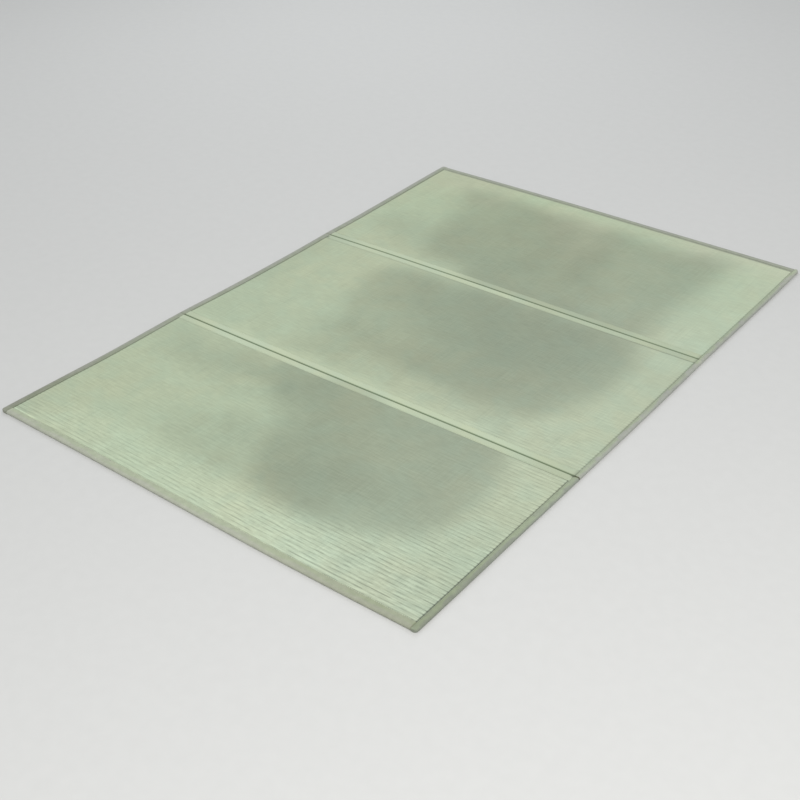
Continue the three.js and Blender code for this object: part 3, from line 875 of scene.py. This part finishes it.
def tape_look():
    """Smooth woven tape, pale green, with painted shade where it goes down into the fold."""
    look = Look("fold_tape")
    along, across = uv_parts(look)
    place = object_place(look)
    weave = cloth_height(look, along, across, 0.7)
    from_fold = look.math("ABSOLUTE", across)
    tint = look.ramp(look.noise(place, 9.0, 3.0), 0.35, 0.65)
    colour = look.blend(tint, srgb(185, 198, 172), srgb(189, 199, 170))
    shadow = look.ramp(from_fold, 1.2 * MM, 5.0 * MM, 1.0, 0.0)
    colour = look.blend(shadow, colour, look.blend(1.0, colour, FOLD_TINT, "MULTIPLY"))
    colour = look.shade(colour, look.ramp(weave, 0.1, 0.9, 0.94, 1.04, smooth=False))
    colour = look.shade(colour, look.mark("light"))
    colour = look.shade(colour, look.math("SUBTRACT", 1.0, look.mark("spot")))
    return look.finish(colour, look.math("MULTIPLY", weave, 0.10), 0.75, sheen=0.05)


def thread_look(key, dark, light):
    look = Look("thread_" + key)
    place = object_place(look)
    colour = look.blend(look.noise(place, 300.0, 1.0), srgb(*dark), srgb(*light))
    return look.finish(colour, look.noise(place, 2500.0, 1.0), 0.8, distance=0.1 * MM)


def pale_floor():
    """A plain pale floor, level with the mat's underside."""
    look = Look("studio_floor")
    grain = look.noise(object_place(look), 30.0, 3.0)
    colour = look.shade((0.62, 0.62, 0.61, 1.0), look.ramp(grain, 0.3, 0.7, 0.99, 1.01, smooth=False))
    look.finish(colour, grain, 0.85, distance=0.02 * MM)
    half = 9000
    corners = np.array([(-half, -half, 0), (half, -half, 0), (half, half, 0), (-half, half, 0)], float)
    mesh = bpy.data.meshes.new("floor")
    mesh.from_pydata((corners * MM).tolist(), [], [(0, 1, 2, 3)])
    mesh.materials.append(look.material)
    floor = bpy.data.objects.new("floor", mesh)
    bpy.context.scene.collection.objects.link(floor)
    return floor


def area_light(name, place, towards, size, power, colour):
    light = bpy.data.lights.new(name, "AREA")
    light.shape = "DISK"
    light.size = size
    light.energy = power
    light.color = colour
    lamp = bpy.data.objects.new(name, light)
    lamp.location = place
    lamp.rotation_euler = (Vector(towards) - Vector(place)).to_track_quat("-Z", "Y").to_euler()
    bpy.context.scene.collection.objects.link(lamp)


def studio():
    """Soft light from all round, with a broad lamp over the front and a weaker one behind."""
    world = bpy.data.worlds.new("studio")
    bpy.context.scene.world = world
    world.use_nodes = True
    background = world.node_tree.nodes["Background"]
    background.inputs["Color"].default_value = (0.97, 0.99, 1.0, 1.0)
    background.inputs["Strength"].default_value = 0.62
    area_light("front_lamp", (2.5, -2.5, 3.5), (0.2, 0.0, 0), 2.4, 125, (1.0, 0.985, 0.96))
    area_light("back_lamp", (-2.4, 2.6, 3.0), (0, 0.3, 0), 3.0, 40, (0.94, 0.97, 1.0))


# The camera at the photo's angle: its place in metres, and its turns in degrees
CAMERA_PLACE = (1.8561, -2.4687, 1.8557)
CAMERA_YAW, CAMERA_PITCH, CAMERA_ROLL = np.radians([-37.9815, 33.9342, -0.9282])
CAMERA_LENS = 55.547
CAMERA_SHIFT = -0.01875


def photo_camera():
    """The forward axis from yaw and pitch, and the right and up axes turned by the roll."""
    forward = Vector((np.sin(CAMERA_YAW) * np.cos(CAMERA_PITCH),
                      np.cos(CAMERA_YAW) * np.cos(CAMERA_PITCH),
                      -np.sin(CAMERA_PITCH)))
    level = Vector((np.cos(CAMERA_YAW), -np.sin(CAMERA_YAW), 0))
    right = level * np.cos(CAMERA_ROLL) + level.cross(forward) * np.sin(CAMERA_ROLL)
    up = right.cross(forward)
    turn = Matrix((right, up, -forward)).transposed().to_4x4()
    camera = bpy.data.cameras.new("camera")
    camera.lens = CAMERA_LENS
    camera.sensor_width = 36
    camera.shift_x = CAMERA_SHIFT
    holder = bpy.data.objects.new("camera", camera)
    holder.matrix_world = Matrix.Translation(CAMERA_PLACE) @ turn
    bpy.context.scene.collection.objects.link(holder)
    bpy.context.scene.camera = holder


def place_piece(piece, node=None):
    """Every piece rides on the one body, and may stand for a node, which is then hidden."""
    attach(piece, "root")
    if node:
        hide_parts(node)
    return piece


def make_panels(look):
    at_end = {"inset": PANEL_INSET, "under": PRESSED_UNDER}
    # dark: the strength of the painted shade in the rush beside each border; glint: that of the painted highlight
    # by the front band
    at_front = {**at_end, "width": BAND["front"], "dark": 0.1, "glint": 0.35}
    at_back = {**at_end, "width": BAND["back"], "dark": 0.2, "glint": 0.0}
    at_fold = {"width": TAPE_HALF, "inset": PANEL_FROM_FOLD, "under": 0.0, "dark": 0.0, "glint": 0.0}
    before_near = {**at_fold, "dark": 0.1}
    before_far = {**at_fold, "dark": 0.42}
    made = {
        "near": (front_edge, near_fold, at_front, before_near, 11),
        "middle": (near_fold, far_fold, at_fold, before_far, 12),
        "far": (far_fold, back_edge, at_fold, at_back, 13),
    }
    for key, (near, far, near_border, far_border, seed) in made.items():
        node = "panel_" + key
        piece = panel("facing_" + key, key, near, far, near_border, far_border, look, seed)
        place_piece(piece, node)


def make_tapes(look, thread):
    for key, fold, seed in (("near", near_fold, 21), ("far", far_fold, 22)):
        node = "seam_strip_" + key
        piece = tape("fold_tape_" + key, key, fold, SLIT[key], look, seed)
        place_piece(piece, node)
        for side, way in (("before", -1), ("after", 1)):
            line = across_line(fold, way * (TAPE_HALF - STITCH_IN), TAPE_TOP)
            row = stitches(f"stitches_{key}_fold_{side}", line, thread, seed + way)
            place_piece(row)


def make_bindings(threads):
    # One cloth in five copies: each band's top and side colours and lip factor are partly the cloth's own tone and
    # partly painted light and shade for that band
    looks = {
        "left": binding_look("left", (150, 157, 138), (158, 161, 150), 0.8, 1.0, 9, 0.5),
        "right_near": binding_look("right_near", (155, 166, 141), (143, 149, 137), 1.08, 1.0, 9, 0.5),
        "right_far": binding_look("right_far", (162, 172, 149), (162, 165, 156), 1.1, 1.0, 5, 1.0),
        "front": binding_look("front", (170, 179, 154), (174, 178, 162), 1.0, 1.0, 11, 0.5),
        "back": binding_look("back", (159, 165, 146), (155, 158, 147), 1.0, 0.6, 13, 0.3),
    }
    front_corner = {"curve": front_edge, "y": -HALF_LENGTH, "corner": True}
    back_corner = {"curve": back_edge, "y": HALF_LENGTH, "corner": True}
    cut_before = {"curve": lambda x: near_fold(x) - RIGHT_CUT, "y": near_fold(HALF_WIDTH), "corner": False}
    cut_after = {"curve": lambda x: near_fold(x) + RIGHT_CUT, "y": near_fold(HALF_WIDTH), "corner": False}
    sides = {
        "left": (left_edge, 1, front_corner, back_corner, (near_fold, far_fold), 31),
        "right_near": (right_edge, -1, front_corner, cut_before, (), 32),
        "right_far": (right_edge, -1, cut_after, back_corner, (far_fold,), 33),
    }
    ends = {"front": (front_edge, 1, 34), "back": (back_edge, -1, 35)}
    bands = {}
    for key, (edge, inward, start, end, folds, seed) in sides.items():
        bands[key] = side_band("edge_" + key, key, edge, inward, start, end, folds, looks[key], seed)
    for key, (edge, inward, seed) in ends.items():
        bands[key] = end_band("edge_" + key, edge, inward, BAND[key], looks[key], seed)
    for key, piece in bands.items():
        node = "binding_" + key
        place_piece(piece, node)
    cut = float(near_fold(HALF_WIDTH))
    lines = {
        "left": side_line(left_edge, 1, BAND["left"], -HALF_LENGTH + 8, HALF_LENGTH - 8),
        "right_near": side_line(right_edge, -1, BAND["right_near"], -HALF_LENGTH + 8, cut - 4),
        "right_far": side_line(right_edge, -1, BAND["right_far"], cut + 4, HALF_LENGTH - 12),
        "front": across_line(front_edge, BAND["front"] + 0.2, TOP),
        "back": across_line(back_edge, STITCH_IN - BAND["back"], TOP),
    }
    for seed, (key, line) in enumerate(lines.items(), 41):
        thread = threads[THREAD_OF[key]]
        place_piece(stitches("stitches_" + key, line, thread, seed, THREAD_SCALE[key]))


bpy.context.scene.view_settings.view_transform = "Standard"
photo_camera()
studio()
pale_floor()
threads = {
    "dark": thread_look("dark", (118, 126, 106), (140, 146, 124)),
    "grey": thread_look("grey", (144, 152, 130), (164, 172, 148)),
    "pale": thread_look("pale", (194, 204, 178), (210, 216, 194)),
}
make_panels(rush_look())
make_tapes(tape_look(), threads["grey"])
make_bindings(threads)
